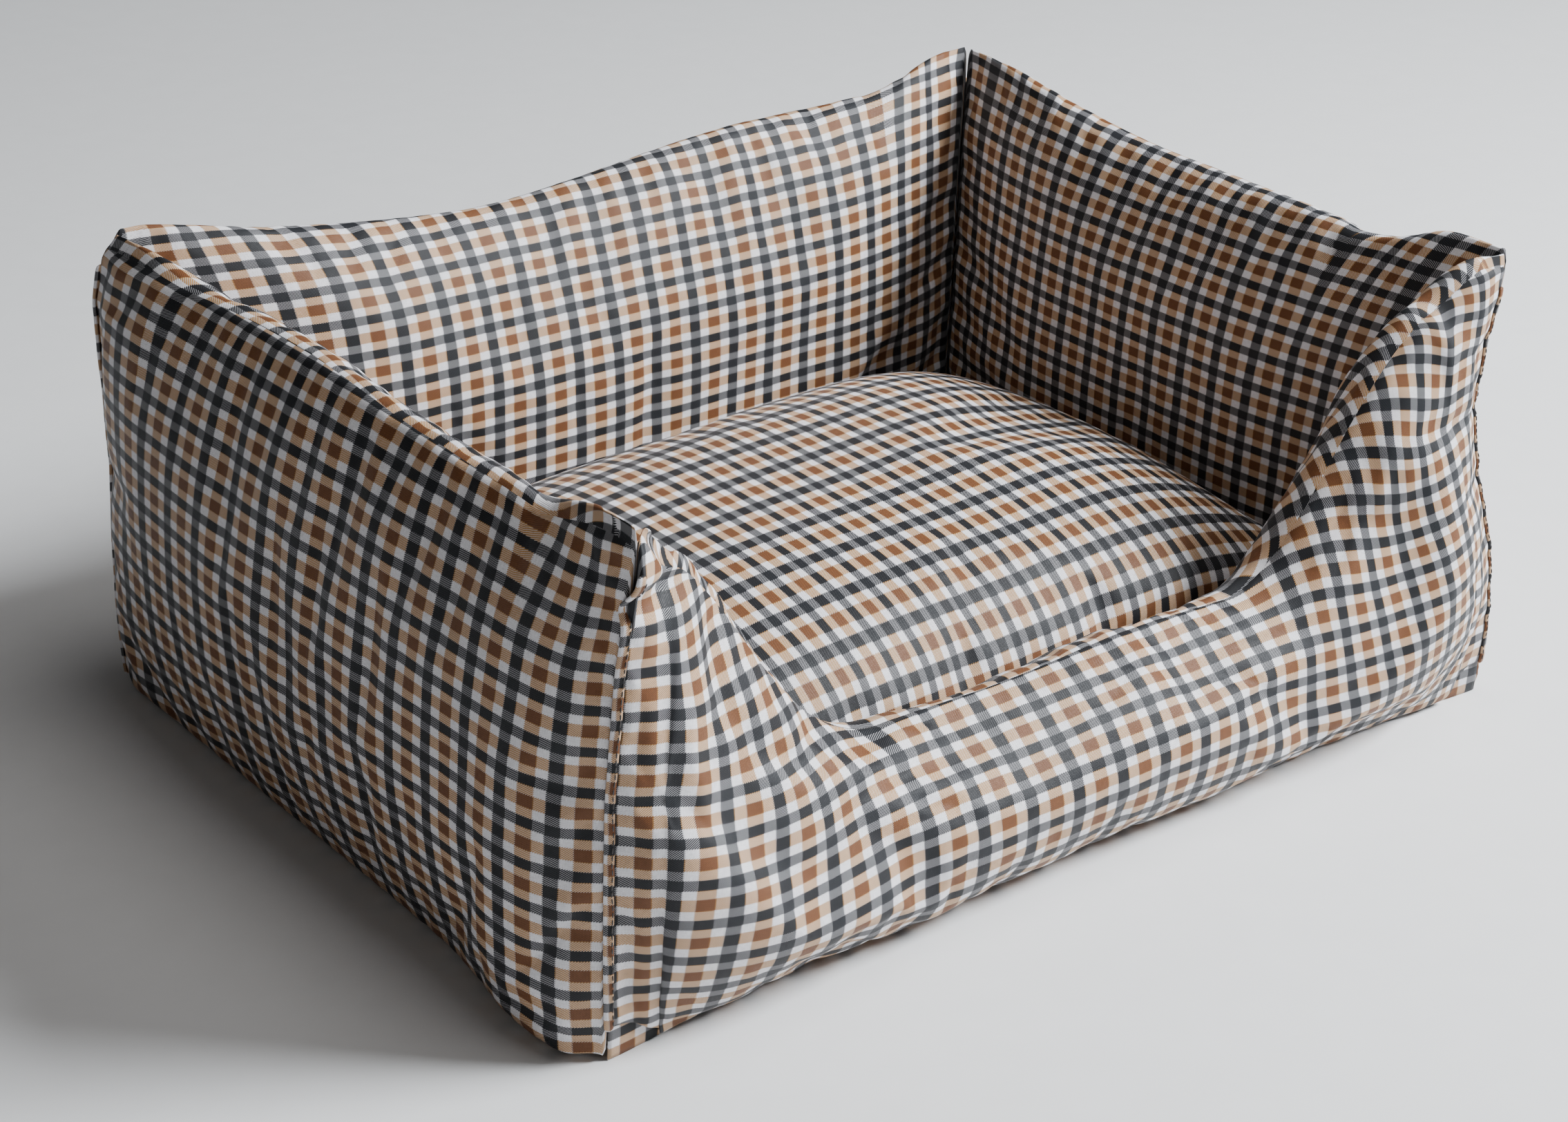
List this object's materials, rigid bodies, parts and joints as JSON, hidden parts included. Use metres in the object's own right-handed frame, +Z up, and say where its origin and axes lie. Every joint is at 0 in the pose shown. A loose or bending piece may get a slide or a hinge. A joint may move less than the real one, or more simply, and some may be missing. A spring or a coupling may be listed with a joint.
{
  "type": "pet cushion bed",
  "caption": "Rectangular padded pet bed: soft walls with peaked corners, a low scooped entrance in front and a loose zipped inner cushion, all in a woven check cloth.",
  "frame": {"origin": "on the floor, at the middle of the bed's outline", "axes": "+X along the front wall to the right, +Y from the entrance to the back wall, +Z up"},
  "size_m": [0.6124, 0.4624, 0.2555],
  "materials": {
    "check_cloth": "satin",
    "filling": "matte",
    "zip_tape": "matte",
    "zip_teeth": "satin",
    "zip_metal": "satin",
    "thread": "matte"
  },
  "bodies": {
    "bed": {"front_wall_cover": "check_cloth", "front_wall_filling": "filling", "back_wall_cover": "check_cloth", "back_wall_filling": "filling", "left_wall_cover": "check_cloth", "left_wall_filling": "filling", "right_wall_cover": "check_cloth", "right_wall_filling": "filling", "corner_seam_front_left": "check_cloth", "corner_seam_front_right": "check_cloth", "corner_seam_back_left": "check_cloth", "corner_seam_back_right": "check_cloth", "base_bottom_panel": "check_cloth", "base_pad": "filling", "base_lining": "check_cloth"},
    "cushion": {"cushion_top_panel": "check_cloth", "cushion_bottom_panel": "check_cloth", "cushion_filling": "filling", "zip_tape_upper": "zip_tape", "zip_tape_lower": "zip_tape", "zip_teeth": "zip_teeth", "zip_stops": "zip_metal"},
    "slider": {"zip_slider": "zip_metal"},
    "pull": {"zip_pull": "zip_metal"}
  },
  "joints": [
    {"name": "cushion_lift", "type": "slide", "parent": "bed", "child": "cushion", "axis": [0, 0, 1], "range_m": [0, 0.3]},
    {"name": "zip_slide", "type": "slide", "parent": "cushion", "child": "slider", "axis": [-1, 0, 0], "range_m": [0, 0.284]},
    {"name": "pull_swing", "type": "hinge", "parent": "slider", "child": "pull", "pos_m": [0.1432, 0.13733, 0.02308], "axis": [0, 0.6312, 0.7756], "range_deg": [0, 180]}
  ]
}
